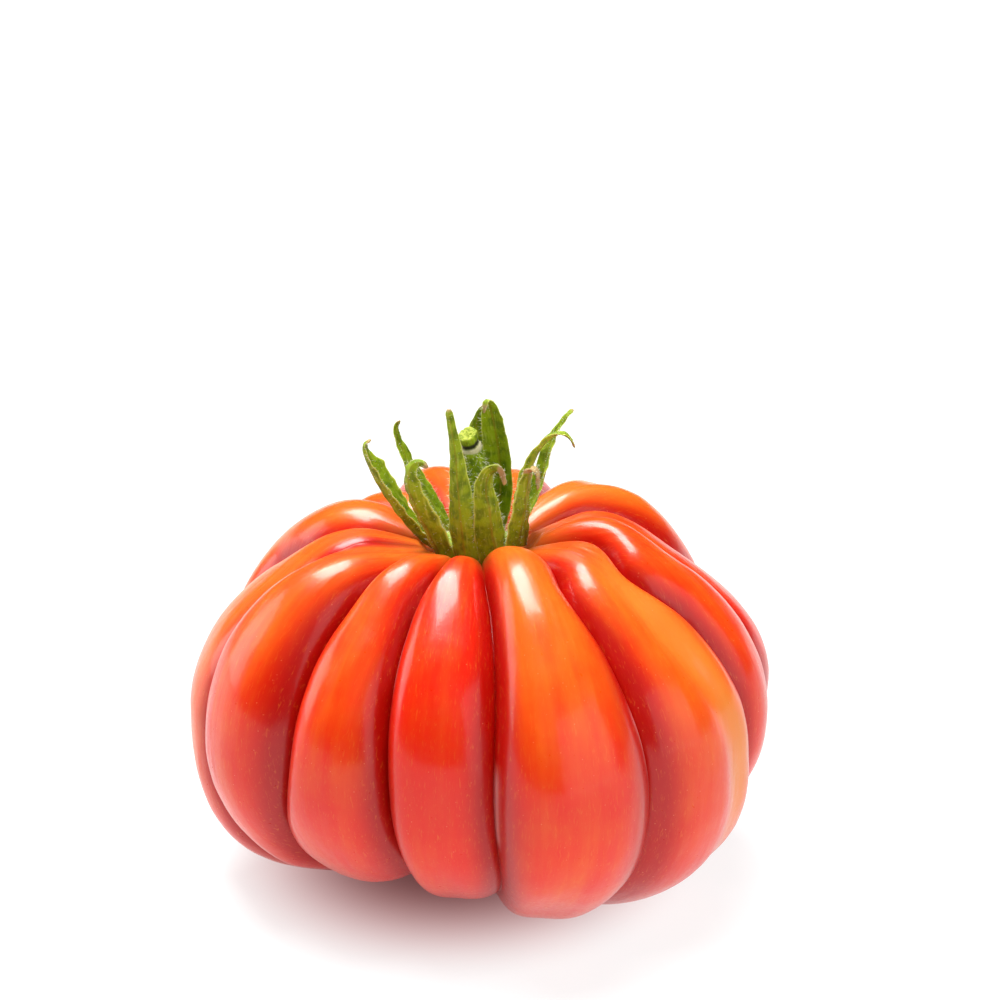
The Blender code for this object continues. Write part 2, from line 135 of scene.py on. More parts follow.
# Pale healed lines in the skin, a little raised: from one station to another, half width in millimetres
SCARS = (
    Scar("right_1_groove", (34.0, 30.5, 30.5, 34.5, 34.5), 0.36, 0.80, 0.35),
    Scar("front_groove", (3.4, 4.4, 4.4, 3.4, 6.0), 0.42, 0.58, 0.25),
    Scar("left_2_groove", (340.0, 339.0, 339.0, 341.0, 343.0), 0.14, 0.34, 0.35),
)

SCAR_HEIGHT = 0.08 * MM
SCAR_FADE = 0.04

# Slow unevenness of the skin: height and width of each wave in millimetres, and the run of stations over
# which it fades at both ends
RELIEF_WAVES = ((0.20, 11.0), (0.05, 3.6))
RELIEF_FADE = 0.1

# How far down its sides a crest stays orange, and the skin's size for its grain: millimetres for each
# radian round the fruit, and from the stalk to the blossom end
ORANGE_GAIN = 1.15
ORANGE_OFFSET = 0.15
GRAIN_ROUND = 40.0
GRAIN_DOWN = 130.0

# Sepals, going round to the right from the far left. Half widths in millimetres at the width stations,
# left and right of the midrib as seen from outside; how far each half is folded inwards and how far the
# blade is twisted by its tip, in degrees; the azimuth it faces; where its dried tip begins; and the
# midrib's points in millimetres (x, y, height over the seat).
SEPALS = (
    Sepal("far_left", (1.5, 1.9, 2.5, 2.7, 1.2, 0.5), (1.6, 1.9, 1.7, 1.3, 0.7, 0.5),
          (62, 46), 0, -94, 0.94,
          ((-7.1, 0.3, -1.2), (-9.1, 0.6, 0.2), (-12.4, 1.0, 3.7), (-16.0, 1.6, 9.0), (-17.9, 2.0, 12.9),
           (-18.8, 2.2, 15.3), (-18.7, 2.3, 16.7), (-17.7, 2.2, 17.3))),
    Sepal("front_left", (2.2, 2.5, 2.3, 1.5, 0.6, 0.4), (2.2, 2.5, 2.3, 1.6, 0.6, 0.4),
          (14, 30), 0, -50, 0.93,
          ((-5.6, -4.5, -1.6), (-7.1, -5.0, 1.8), (-8.9, -5.5, 6.0), (-10.2, -5.9, 9.0),
           (-11.0, -6.2, 11.7), (-11.2, -6.4, 14.1), (-10.6, -6.5, 15.9), (-9.4, -6.6, 16.4),
           (-8.2, -6.8, 15.6))),
    Sepal("front", (2.3, 2.6, 1.8, 1.0, 0.65, 0.6), (2.2, 2.5, 1.9, 1.0, 0.65, 0.6),
          (26, 30), 0, -14, 0.96,
          ((-1.8, -6.6, -1.8), (-2.3, -7.4, 2.0), (-2.8, -7.8, 6.6), (-3.1, -7.8, 10.6), (-3.4, -7.6, 14.6),
           (-3.6, -7.4, 17.8), (-4.1, -7.2, 21.5), (-4.6, -7.0, 24.5), (-4.7, -6.9, 25.6))),
    Sepal("front_right", (2.4, 2.8, 2.2, 1.3, 0.85, 0.6), (2.4, 2.8, 2.2, 1.3, 0.85, 0.6),
          (24, 24), 0, 24, 0.84,
          ((2.9, -6.3, -1.6), (2.5, -6.9, 2.0), (2.0, -7.4, 5.2), (1.7, -7.6, 8.6), (1.2, -7.6, 11.0),
           (1.1, -7.7, 12.9), (1.6, -7.9, 14.9), (2.7, -8.3, 15.8), (3.8, -8.8, 15.4), (4.1, -8.9, 13.4))),
    Sepal("right_front", (2.0, 2.3, 2.2, 1.4, 0.6, 0.5), (1.8, 2.1, 2.0, 1.3, 0.6, 0.5),
          (22, 8), 0, 62, 0.74,
          ((5.8, -3.4, -1.4), (6.4, -3.8, 2.4), (7.2, -3.9, 6.7), (7.6, -3.9, 10.2), (7.9, -4.1, 12.8),
           (8.4, -4.5, 14.4), (9.3, -4.9, 14.3), (9.8, -5.1, 12.9), (9.7, -5.2, 11.2))),
    Sepal("right", (1.6, 2.0, 2.2, 1.4, 0.6, 0.4), (1.6, 2.0, 2.4, 1.5, 0.6, 0.4),
          (25, 15), 50, 40, 0.94,
          ((7.2, 0.4, -0.8), (7.5, 0.9, 2.9), (7.7, 1.2, 6.4), (8.1, 1.3, 9.5), (8.7, 1.4, 12.7),
           (9.7, 1.4, 15.3), (11.0, 1.3, 17.4), (12.5, 1.2, 18.6), (14.1, 1.1, 18.7), (15.3, 0.9, 17.7),
           (15.9, 0.8, 16.4))),
    Sepal("right_back", (1.5, 1.8, 1.6, 1.0, 0.55, 0.45), (1.5, 1.8, 1.6, 1.0, 0.55, 0.45),
          (30, 30), 0, 122, 0.96,
          ((6.2, 3.9, -0.4), (7.8, 4.6, 2.5), (9.2, 5.2, 5.1), (10.2, 5.8, 7.6), (11.0, 6.4, 10.5),
           (11.7, 7.0, 13.2), (12.5, 7.6, 15.6), (13.5, 8.2, 17.5), (14.7, 8.6, 19.2), (15.9, 9.0, 20.4))),
    Sepal("back", (1.8, 2.3, 2.1, 1.7, 0.7, 0.35), (1.8, 2.5, 2.6, 1.9, 0.8, 0.35),
          (22, 26), 0, 162, 0.92,
          ((2.7, 7.0, -0.4), (3.5, 7.9, 3.2), (3.8, 8.4, 7.0), (3.7, 8.6, 10.7), (3.4, 8.4, 14.1),
           (2.8, 8.0, 17.6), (2.3, 7.4, 20.5), (1.8, 6.6, 22.4), (1.2, 5.6, 22.9), (1.0, 5.2, 21.0))),
    Sepal("back_left", (2.0, 2.2, 2.0, 1.5, 0.6, 0.3), (2.0, 2.2, 2.0, 1.5, 0.6, 0.3),
          (24, 24), 0, 198, 0.96,
          ((-2.1, 7.0, -0.4), (-1.9, 8.0, 3.6), (-1.7, 8.8, 8.0), (-1.2, 9.2, 12.3), (-0.6, 9.4, 16.3),
           (0.1, 9.2, 19.4), (0.8, 8.8, 21.1))),
    Sepal("left_back", (1.3, 1.6, 1.6, 1.1, 0.6, 0.4), (1.3, 1.6, 1.6, 1.1, 0.6, 0.4),
          (24, 24), 0, -126, 0.95,
          ((-5.0, 4.2, -0.6), (-6.3, 5.0, 2.0), (-8.0, 5.8, 4.9), (-10.0, 6.6, 8.2), (-11.8, 7.4, 11.2),
           (-12.8, 8.0, 13.6), (-13.7, 8.6, 15.9), (-13.8, 8.8, 17.6), (-13.1, 8.6, 18.6))),
)
SEPAL_STEPS_ALONG = 60
SEPAL_STEPS_ROUND = 36
SEPAL_THICKNESS = 0.50 * MM
SEPAL_FULLNESS = 1.10
SEPAL_CURL_POWER = 1.4
SEPAL_WIDTH_STATIONS = (0.0, 0.25, 0.50, 0.75, 0.92, 1.0)
SEPAL_THINNEST = 0.40
SEPAL_FULL_FROM = 1.3 * MM      # half width from which a blade has its full thickness
TIP_CLOSES_FROM = 0.97
TIP_CLOSING_RUN = 0.03
TIP_CLOSING = 0.75
DRYING_RUN = 0.06
MIDRIB_HEIGHT = 0.12 * MM
MIDRIB_WIDTH = 0.13
BLADE_ROUGHNESS = 0.16 * MM
DRIED_CRUMPLE = 0.30 * MM
EDGE_UNEVENNESS = 0.05
DRIED_EDGE_UNEVENNESS = 0.25
SEPAL_GRAIN_SPACING = 20        # sets each sepal's grain apart from the others'

# Waves of a blade's margin: share of the height, pace along the blade, and shift for each sepal and side
MARGIN_WAVE = 0.11 * MM
MARGIN_WAVES = ((1.0, 1.7, 1.7, 1.3), (0.6, 3.1, 2.9, 2.1))

# The seat's reach as a share of its radius, the ridge at each sepal, with its width in degrees, and the
# place on a sepal, in millimetres from its foot, whose colour, with a little of the painted red bounce, the
# seat has
SEAT_SIDES = 96
SEAT_RINGS = 24
SEAT_REACH = 0.80
SEAT_RIDGE = 0.05
SEAT_RIDGE_WIDTH = 11
SEAT_DENT = 0.25 * MM
SEAT_COLOUR_PLACE = 6.0

# Hairs: lengths in millimetres, how many of the margins' are missing, and how many there are elsewhere
HAIR_RADIUS = 0.042 * MM
HAIR_ROOT = 0.05 * MM
MARGIN_HAIR_LENGTHS = (0.35, 1.05)
MARGIN_HAIRS_MISSING = 0.12
DOWN_LENGTHS = (0.15, 0.45)
DOWN_HAIRS_PER_STEP = 3
STEM_HAIR_LENGTHS = (0.35, 1.0)
STEM_HAIR_DEPTHS = (2.9, 17.4)
STEM_HAIRS = 700
BOWL_HAIR_LENGTHS = (0.4, 1.3)
BOWL_HAIR_RADII = (2.9, 6.4)
BOWL_HAIRS = 420
BOWL_REACH = 0.82

# The stem from its cut end down: radius, and depth below the cut end, in millimetres. It leans left towards
# the cut, which is tilted to the front, and its dried ring is higher on the right.
STEM_HEIGHT = 18.0 * MM
STEM_LEAN = 1.8 * MM
STEM_BEND_POWER = 3.0
CUT_TILT = math.radians(24)
RING_TILT = math.radians(15)
STEM_PROFILE = (
    (0.02, 0.25), (0.5, 0.20), (0.9, 0.12), (1.2, 0.03), (1.4, 0.0), (1.5, 0.2), (1.5, 0.9), (1.35, 1.3),
    (1.25, 1.7), (1.5, 1.95), (1.62, 2.1), (1.66, 2.35), (1.62, 2.6), (1.7, 3.2), (1.85, 4.4), (2.1, 7.5),
    (2.3, 12.0), (2.7, 16.0), (2.8, 18.0),
)
STEM_SIDES = 72
STALK_FROM = 12                 # the profile's first row below the dried ring
STALK_DEPTHS = (3.0, 17.9)
STALK_RINGS = 44
STEM_RIBS = ((0.03, 5, 1.0), (0.02, 11, 0.0))
STEM_TILTS_FROM = 0.78
STEM_TILT_RUN = 0.14
RING_DEPTHS = (1.9, 2.65)
GAP_FROM = 0.9
GAP_RUN = 0.3
PITH_RADIUS = 1.5
PITH_RIM = 0.12
PITH_DEPTH = 0.3

# The camera: how high it looks down from, how far it stands from its aim, and where its aim lands in the
# photograph's 1000 x 1000 frame
CAMERA_ELEVATION = math.radians(24.0)
CAMERA_DISTANCE = 0.45
CAMERA_AIM = Vector((AXIS_X, AXIS_Y, 31.8 * MM))
AIM_PIXEL = (477.0, 686.0)
FOCAL_PIXELS = 2640.0
FRAME_PIXELS = 1000.0
SENSOR_MM = 36.0


def smooth_step(x):
    x = np.clip(x, 0.0, 1.0)
    return x * x * (3 - 2 * x)


def along_lobe(s, values, fades=True):
    """A value given at the swell stations, joined smoothly, faded to nothing at both ends or held."""
    first, last = (0.0, 0.0) if fades else (values[0], values[-1])
    places = (0.0, SWELL_FADES[0], *SWELL_STATIONS, SWELL_FADES[1], 1.0)
    levels = np.array((first, first, *values, last, last))
    part = np.interp(s, places, range(len(places)))
    i = np.clip(part.astype(int), 0, len(places) - 2)
    return levels[i] + (levels[i + 1] - levels[i]) * smooth_step(part - i)


def azimuth_at(azimuths, s):
    """A line's azimuth: a smooth curve through its stations, held beyond the first and the last one."""
    stations, values = np.array(GROOVE_STATIONS), np.array(azimuths, dtype=float)
    slopes = np.zeros(len(stations))
    slopes[1:-1] = (values[2:] - values[:-2]) / (stations[2:] - stations[:-2])
    s = np.clip(s, stations[0], stations[-1])
    i = np.clip(np.searchsorted(stations, s, side="right") - 1, 0, len(stations) - 2)
    span = stations[i + 1] - stations[i]
    t = (s - stations[i]) / span
    leaving = slopes[i] * span * (t ** 3 - 2 * t ** 2 + t)
    arriving = slopes[i + 1] * span * (t ** 3 - t ** 2)
    return values[i] + (values[i + 1] - values[i]) * smooth_step(t) + leaving + arriving


def profile(s):
    """Radius as a share of the half width, and height, of the fruit without its lobes."""
    sine = np.maximum(np.sin(math.pi * s), 0.0)
    cosine = np.abs(np.cos(math.pi * s))
    upper = s < 0.5
    radius = np.where(upper, sine, sine ** LOWER_RADIUS_POWER)
    height = np.where(upper, EQUATOR + (CROWN - EQUATOR) * cosine,
                      EQUATOR - (EQUATOR + SAG) * cosine ** LOWER_HEIGHT_POWER)
    real = radius * WIDTH / 2
    hollow = np.where(upper, -TOP_HOLLOW * np.exp(-(real / TOP_HOLLOW_REACH) ** 2),
                      BASE_HOLLOW * np.exp(-(real / BASE_HOLLOW_REACH) ** 2))
    return radius, height + hollow


def profile_normal(s):
    """The direction that faces into the fruit at a station, as (radial, up)."""
    step = 0.004
    r0, z0 = profile(np.maximum(s - step, 0.0))
    r1, z1 = profile(np.minimum(s + step, 1.0))
    dr, dz = (r1 - r0) * WIDTH / 2, z1 - z0
    size = np.hypot(dr, dz)
    return dz / size, -dr / size


def groove_depth(s):
    opening = smooth_step(s / GROOVE_OPEN_AT)
    easing = 1 - GROOVE_EASING * np.maximum((s - GROOVE_EASES_FROM) / (1 - GROOVE_EASES_FROM), 0.0)
    return GROOVE_DEPTH * opening * easing * smooth_step((1 - s) / GROOVE_CLOSING)


def lobe_height(u, lean):
    """1 on the crest (near u = 0) and 0 in the grooves (u = -1 and 1)."""
    v = (u - lean) / (1 - lean * u)
    return (1 - np.minimum(np.abs(v), 1.0) ** CREST_POWER) ** FLANK_POWER


def across_line(azimuth, azimuths, s, radius):
    """Distance along the skin from a line that runs down the fruit, in metres."""
    turn = (azimuth - azimuth_at(azimuths, s) + 180) % 360 - 180
    return np.radians(turn) * radius


def under_seat(radius):
    """The highest that the fruit may reach near the calyx."""
    edge = SEAT_RADIUS + SEAT_CLEARANCE
    dome = np.sqrt(np.maximum(1 - (radius / edge) ** 2, 0.0))
    inside = SEAT_HEIGHT - SEAT_HALF_THICKNESS * dome - SEAT_CLEARANCE
    return np.where(radius < edge, inside, SEAT_HEIGHT - SEAT_CLEARANCE + (radius - edge) * SEAT_BANK)


def skin_relief(places):
    """Slow unevenness of the skin, outwards, in metres."""
    relief = np.empty(len(places))
    for k, place in enumerate(places):
        point = Vector(place) / MM
        relief[k] = sum(height * noise.noise(point / width) for height, width in RELIEF_WAVES)
    return relief * MM


def skin_shape(lobe, u, s):
    """Every vertex's place and the fields that its colour follows."""
    starts = np.array([azimuth_at(groove.azimuths, s) for groove in GROOVES])
    ends = np.roll(starts, -1, axis=0)
    ends[-1] += 360
    pick = np.arange(len(s))
    azimuth = starts[lobe, pick] + (ends[lobe, pick] - starts[lobe, pick]) * (u + 1) / 2
    radius, height = profile(s)
    level = lobe_height(u, np.choose(lobe, [row.lean for row in LOBES]))

    swells = np.array([along_lobe(s, row.swells) for row in LOBES])
    oranges = np.array([along_lobe(s, row.orange, fades=False) for row in LOBES])
    shares = np.array([along_lobe(s, groove.shares, fades=False) for groove in GROOVES])
    near = (lobe + np.where(u < 0, -1, 1)) % len(LOBES)
    near_groove = np.where(u < 0, lobe, (lobe + 1) % len(GROOVES))
    swell = swells[lobe, pick] * (0.5 + 0.5 * level) + swells[near, pick] * (0.5 - 0.5 * level)
    inward = groove_depth(s) * shares[near_groove, pick] * (1 - level) - swell * MM

    around = radius * WIDTH / 2
    for fold in FOLDS:
        across = across_line(azimuth, fold.azimuths, s, around) / (fold.half_width * MM)
        inward += along_lobe(s, fold.depths) * MM * np.exp(-across ** 2)
    scar = np.zeros(len(s))
    for line in SCARS:
        across = across_line(azimuth, line.azimuths, s, around) / (line.half_width * MM)
        ends_fade = smooth_step((s - line.start) / SCAR_FADE) * smooth_step((line.end - s) / SCAR_FADE)
        scar = np.maximum(scar, np.exp(-across ** 2) * ends_fade)
    inward -= scar * SCAR_HEIGHT
    yellow = np.zeros(len(s))
    for blush in BLUSHES:
        across = across_line(azimuth, blush.azimuths, s, around) / (blush.half_width * MM)
        yellow = np.maximum(yellow, along_lobe(s, blush.strengths) * np.exp(-across ** 2))

    radial, up = profile_normal(s)
    angle = np.radians(azimuth)

    def placed(depth):
        out_x = radius * WIDTH / 2 + radial * depth
        out_y = radius * DEPTH / 2 + radial * depth
        z = np.minimum(height + up * depth, under_seat(out_x))
        return np.stack([AXIS_X + out_x * np.sin(angle), AXIS_Y - out_y * np.cos(angle), z], axis=1)

    fading = smooth_step(s / RELIEF_FADE) * smooth_step((1 - s) / RELIEF_FADE)
    inward -= skin_relief(placed(inward)) * fading
    places = placed(inward)
    places[:, 2] = np.maximum(places[:, 2], 0.0)
    fields = {
        "level": level,
        "station": s,
        "orange": oranges[lobe, pick] * smooth_step(level * ORANGE_GAIN - ORANGE_OFFSET),
        "yellow": yellow,
        "scar": scar,
        "across": angle * GRAIN_ROUND,
        "along": s * GRAIN_DOWN,
    }
    return places, fields


def float_field(mesh, name, values):
    made = mesh.attributes.new(name, "FLOAT", "POINT")
    made.data.foreach_set("value", np.asarray(values, dtype=np.float32))


def mesh_from(name, bm):
    mesh = bpy.data.meshes.new(name)
    bm.to_mesh(mesh)
    bm.free()
    return mesh


def piece(name, mesh, surface, node_slot, *replaced):
    """A finished piece of the object: it rides on the body and stands for the nodes it replaces."""
    mesh.shade_smooth()
    made = bpy.data.objects.new(name, mesh)
    made.data.materials.append(surface)
    bpy.context.scene.collection.objects.link(made)
    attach(made, "root")
    if replaced:
        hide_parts(*replaced)
    return made


def make_skin():
    """A fine sphere whose columns are led along the grooves and lobes."""
    columns = COLUMNS_PER_LOBE * len(LOBES)
    bm = bmesh.new()
    bmesh.ops.create_uvsphere(bm, u_segments=columns, v_segments=RINGS, radius=1.0)
    mesh = mesh_from("skin", bm)
    co = np.empty(len(mesh.vertices) * 3)
    mesh.vertices.foreach_get("co", co)
    co = co.reshape(-1, 3)
    even = np.arccos(np.clip(co[:, 2], -1.0, 1.0)) / math.pi
    s = even - RING_CROWDING * np.sin(2 * math.pi * even)
    column = np.round(np.arctan2(co[:, 0], -co[:, 1]) / (2 * math.pi) * columns).astype(int) % columns
    lobe, place = np.divmod(column, COLUMNS_PER_LOBE)
    u = np.sin(math.pi / 2 * (2 * place / COLUMNS_PER_LOBE - 1))
    places, fields = skin_shape(lobe, u, s)
    mesh.vertices.foreach_set("co", places.ravel())
    for name, values in fields.items():
        float_field(mesh, name, values)
    mesh.update()
    return piece("skin", mesh, skin_material(), "skin", "fruit")


# Sockets of the Mix node that colours use
MIX_FACTOR, MIX_A, MIX_B, MIX_RESULT = 0, 6, 7, 2


class Graph:
    """A node material, built up from its Principled shader."""

    def __init__(self, name):
        self.material = bpy.data.materials.new(name)
        self.material.use_nodes = True
        self.tree = self.material.node_tree
        self.shader = self.tree.nodes["Principled BSDF"]

    def node(self, kind, **settings):
        made = self.tree.nodes.new("ShaderNode" + kind)
        for name, value in settings.items():
            setattr(made, name, value)
        return made

    def put(self, socket, value):
        """A value or another node's output into a socket."""
        if isinstance(value, bpy.types.NodeSocket):
            self.tree.links.new(value, socket)
        elif isinstance(value, tuple) and socket.type == "RGBA":
            socket.default_value = (*value, 1.0)
        else:
            socket.default_value = value

    def set(self, **values):
        for name, value in values.items():
            self.put(self.shader.inputs[name.replace("_", " ")], value)

    def field(self, name):
        return self.node("Attribute", attribute_name=name).outputs["Fac"]

    def math(self, operation, a, b):
        made = self.node("Math", operation=operation)
        self.put(made.inputs[0], a)
        self.put(made.inputs[1], b)
        return made.outputs[0]

    def span(self, value, low, high, to_low=0.0, to_high=1.0):
        """value's range from low to high, smoothly, onto another range."""
        made = self.node("MapRange", interpolation_type="SMOOTHSTEP")
        for name, number in (("Value", value), ("From Min", low), ("From Max", high),
                             ("To Min", to_low), ("To Max", to_high)):
            self.put(made.inputs[name], number)
        return made.outputs[0]

    def mix(self, factor, a, b):
        made = self.node("Mix", data_type="RGBA")
        self.put(made.inputs[MIX_FACTOR], factor)
        self.put(made.inputs[MIX_A], a)
        self.put(made.inputs[MIX_B], b)
        return made.outputs[MIX_RESULT]

    def vary(self, value, pattern, strength):
        """A value, raised where a pattern is above its middle and lowered where it is below."""
        return self.math("ADD", value, self.math("MULTIPLY", self.math("SUBTRACT", pattern, 0.5), strength))

    def place(self, size_mm):
        """The object's own coordinates, in units of size_mm."""
        scaled = self.node("VectorMath", operation="SCALE")
        self.put(scaled.inputs[0], self.node("TexCoord").outputs["Object"])
        scaled.inputs["Scale"].default_value = 1000.0 / size_mm
        return scaled.outputs[0]

    def grain(self, across_mm, along_mm):
        """Coordinates on the surface, stretched so that a pattern has that size each way."""
        made = self.node("CombineXYZ")
        self.put(made.inputs[0], self.math("MULTIPLY", self.field("across"), 1.0 / across_mm))
        self.put(made.inputs[1], self.math("MULTIPLY", self.field("along"), 1.0 / along_mm))
        return made.outputs[0]

    def noise(self, vector, detail, distortion=0.0):
        made = self.node("TexNoise", noise_dimensions="3D")
        self.put(made.inputs["Vector"], vector)
        made.inputs["Scale"].default_value = 1.0
        made.inputs["Detail"].default_value = detail
        made.inputs["Distortion"].default_value = distortion
        return made.outputs["Fac"]

    def spots(self, vector, size):
        """1 inside small round spots, 0 elsewhere."""
        made = self.node("TexVoronoi", feature="F1")
        self.put(made.inputs["Vector"], vector)
        made.inputs["Scale"].default_value = 1.0
        return self.span(made.outputs["Distance"], size, size * 0.4)

    def bump(self, height, depth_mm, under=None):
        made = self.node("Bump")
        made.inputs["Distance"].default_value = depth_mm * MM
        self.put(made.inputs["Height"], height)
        if under:
            self.put(made.inputs["Normal"], under)
        return made.outputs[0]


RED = (0.78, 0.0140, 0.001)
# Deep red: partly the grooves' own pigment, partly painted shade in the grooves and low down
DEEP_RED_AND_PAINTED_SHADE = (0.42, 0.0012, 0.0004)
ORANGE = (0.84, 0.128, 0.007)
YELLOW_ORANGE = (0.84, 0.245, 0.031)
STALK_BROWN = (0.60, 0.15, 0.018)
SPECK = (0.95, 0.42, 0.20)
SCAR = (0.80, 0.36, 0.34)


def skin_material():
    """Glossy skin: orange on the crests, deep red in the grooves, partly pigment and partly painted shade,
    and deep red low down as painted shade, with specks and healed lines.
    """
    g = Graph("tomato_skin")
    blotches = g.noise(g.place(8.0), detail=3.0)
    patches = g.noise(g.grain(3.6, 34.0), detail=2.0, distortion=0.4)
    streaks = g.noise(g.grain(0.9, 16.0), detail=3.0)
    waves = g.noise(g.grain(3.2, 14.0), detail=1.0, distortion=0.3)
    fibres = g.noise(g.grain(0.24, 1.9), detail=2.0, distortion=1.2)

    orange = g.field("orange")
    for pattern, strength in ((blotches, 0.55), (patches, 0.60), (streaks, 0.28)):
        orange = g.vary(orange, pattern, strength)
    colour = g.mix(g.span(orange, 0.10, 1.0), RED, ORANGE)
    colour = g.mix(g.span(g.field("yellow"), 0.1, 1.0), colour, YELLOW_ORANGE)
    # Partly pigment, partly painted shade: the skin darkens to deep red towards the grooves
    colour = g.mix(g.span(g.field("level"), 0.94, 0.45, 0.0, 0.88), colour, DEEP_RED_AND_PAINTED_SHADE)
    # Painted shade: the skin darkens to deep red low down, on the underside that faces away from the light
    colour = g.mix(g.span(g.field("station"), 0.62, 0.90, 0.0, 0.80), colour, DEEP_RED_AND_PAINTED_SHADE)
    colour = g.mix(g.span(g.field("station"), 0.13, 0.04, 0.0, 0.8), colour, STALK_BROWN)
    colour = g.mix(g.span(fibres, 0.56, 0.80, 0.0, 0.30), colour, YELLOW_ORANGE)
    specks = g.spots(g.place(1.5), 0.085)
    colour = g.mix(g.math("MULTIPLY", specks, 0.35), colour, SPECK)
    colour = g.mix(g.math("MULTIPLY", g.field("scar"), 0.8), colour, SCAR)

    peel = g.noise(g.place(0.7), detail=3.0)
    normal = g.bump(waves, 0.22)
    normal = g.bump(streaks, 0.035, normal)
    normal = g.bump(fibres, 0.012, normal)
    normal = g.bump(peel, 0.020, normal)
    g.set(Base_Color=colour, Roughness=g.span(peel, 0.2, 0.8, 0.27, 0.37), Normal=normal)
    g.set(Specular_IOR_Level=0.30, Coat_Weight=0.32, Coat_Roughness=0.12, Subsurface_Weight=0.25,
          Subsurface_Radius=(1.0, 0.18, 0.06), Subsurface_Scale=2.0 * MM)
    return g.material


LEAF = (0.260, 0.360, 0.005)
LEAF_DARK = (0.120, 0.190, 0.002)
LEAF_PALE = (0.58, 0.62, 0.11)
# Brown of the midrib, and of the painted red bounce light at the sepals' foot
LEAF_BROWN_AND_RED_BOUNCE = (0.30, 0.17, 0.012)
DRIED = (0.42, 0.29, 0.12)
RING_CREAM = (0.62, 0.56, 0.36)
GAP_SHADE = (0.02, 0.018, 0.004)
PITH_DARK = (0.20, 0.27, 0.006)
PITH_PALE = (0.46, 0.50, 0.06)
HAIR_GREEN = (0.62, 0.68, 0.34)
HAIR_PALE = (0.92, 0.90, 0.68)


def sepal_material():
    """A mottled green leaf: browner at its midrib, browned at its foot by a painted red bounce from the
    fruit, pale at its edges, dried to tan at its tip.
    """
    g = Graph("sepal")
    mottle = g.noise(g.place(1.6), detail=4.0)
    fine = g.noise(g.place(0.35), detail=3.0)
    veins = g.noise(g.grain(0.45, 3.0), detail=2.0)
    colour = g.mix(g.span(mottle, 0.33, 0.62), LEAF_DARK, LEAF)
    colour = g.mix(g.span(veins, 0.50, 0.75, 0.0, 0.35), colour, LEAF_PALE)
    colour = g.mix(g.span(fine, 0.55, 0.8, 0.0, 0.4), colour, LEAF_PALE)
    colour = g.mix(g.span(g.field("margin"), 0.88, 0.99, 0.0, 0.9), colour, LEAF_PALE)
    # Painted reflected light: towards its foot, next to the fruit, a sepal is browned as if lit by red
    # light bounced off the fruit
    foot = g.math("ADD", g.field("along"), g.math("MULTIPLY", mottle, 4.0))
    colour = g.mix(g.span(foot, 7.0, 1.5, 0.0, 0.5), colour, LEAF_BROWN_AND_RED_BOUNCE)
    colour = g.mix(g.span(g.field("rib"), 0.3, 1.0, 0.0, 0.45), colour, LEAF_BROWN_AND_RED_BOUNCE)
    dried = g.vary(g.field("dried"), mottle, 0.8)
    colour = g.mix(g.span(dried, 0.2, 0.8), colour, DRIED)
    normal = g.bump(veins, 0.15)
    normal = g.bump(fine, 0.10, normal)
    g.set(Base_Color=colour, Roughness=g.span(fine, 0.2, 0.8, 0.5, 0.7), Normal=normal)
    g.set(Specular_IOR_Level=0.22, Subsurface_Weight=0.2, Subsurface_Radius=(0.7, 1.0, 0.05),
          Subsurface_Scale=0.6 * MM)
    return g.material


def stem_material():
    """Mottled green, with a yellow-green pith, painted shade in the gap and a pale dried ring below the cut
    end.
    """
    g = Graph("stem")
    mottle = g.noise(g.place(1.1), detail=4.0)
    ridges = g.noise(g.grain(0.35, 3.0), detail=2.0)
    colour = g.mix(g.span(mottle, 0.35, 0.65), LEAF_DARK, LEAF)
    colour = g.mix(g.span(ridges, 0.55, 0.75, 0.0, 0.5), colour, LEAF_PALE)
    colour = g.mix(g.field("ring"), colour, RING_CREAM)
    # Painted shade: the gap below the cut end is darkened almost to black
    colour = g.mix(g.field("gap"), colour, GAP_SHADE)
    rings = g.noise(g.place(0.45), detail=3.0, distortion=1.0)
    pith = g.mix(g.span(rings, 0.40, 0.60), PITH_DARK, PITH_PALE)
    colour = g.mix(g.field("pith"), colour, pith)
    normal = g.bump(ridges, 0.15)
    normal = g.bump(rings, 0.12, normal)
    g.set(Base_Color=colour, Roughness=g.span(mottle, 0.2, 0.8, 0.5, 0.68), Normal=normal)
    g.set(Specular_IOR_Level=0.22, Subsurface_Weight=0.15, Subsurface_Radius=(0.7, 1.0, 0.05),
          Subsurface_Scale=0.6 * MM)
    return g.material


def hair_material():
    """Pale green to cream, a little see-through."""
    g = Graph("plant_hair")
    shade = g.noise(g.place(2.0), detail=1.0)
    g.set(Base_Color=g.mix(g.span(shade, 0.3, 0.7), HAIR_GREEN, HAIR_PALE), Roughness=0.5)
    g.set(Subsurface_Weight=0.3, Subsurface_Radius=(1.0, 1.0, 0.6), Subsurface_Scale=0.2 * MM)
    return g.material


def loft(name, rows, fields):
    """A closed body through rings of points, with fields given for each ring and place round it."""
    rows = np.asarray(rows)
    steps, sides = rows.shape[:2]
    bm = bmesh.new()
    layers = {key: bm.verts.layers.float.new(key) for key in fields}
    verts = []
    for i in range(steps):
        ring = []
        for k in range(sides):
            vert = bm.verts.new(rows[i, k])
            for key, layer in layers.items():
                vert[layer] = float(fields[key][i, k])
            ring.append(vert)
        verts.append(ring)
    for lower, upper in zip(verts, verts[1:]):
        for k in range(sides):
            j = (k + 1) % sides
            bm.faces.new((lower[k], lower[j], upper[j], upper[k]))
    bm.faces.new(reversed(verts[0]))
    bm.faces.new(verts[-1])
    bmesh.ops.recalc_face_normals(bm, faces=bm.faces)
    return mesh_from(name, bm)


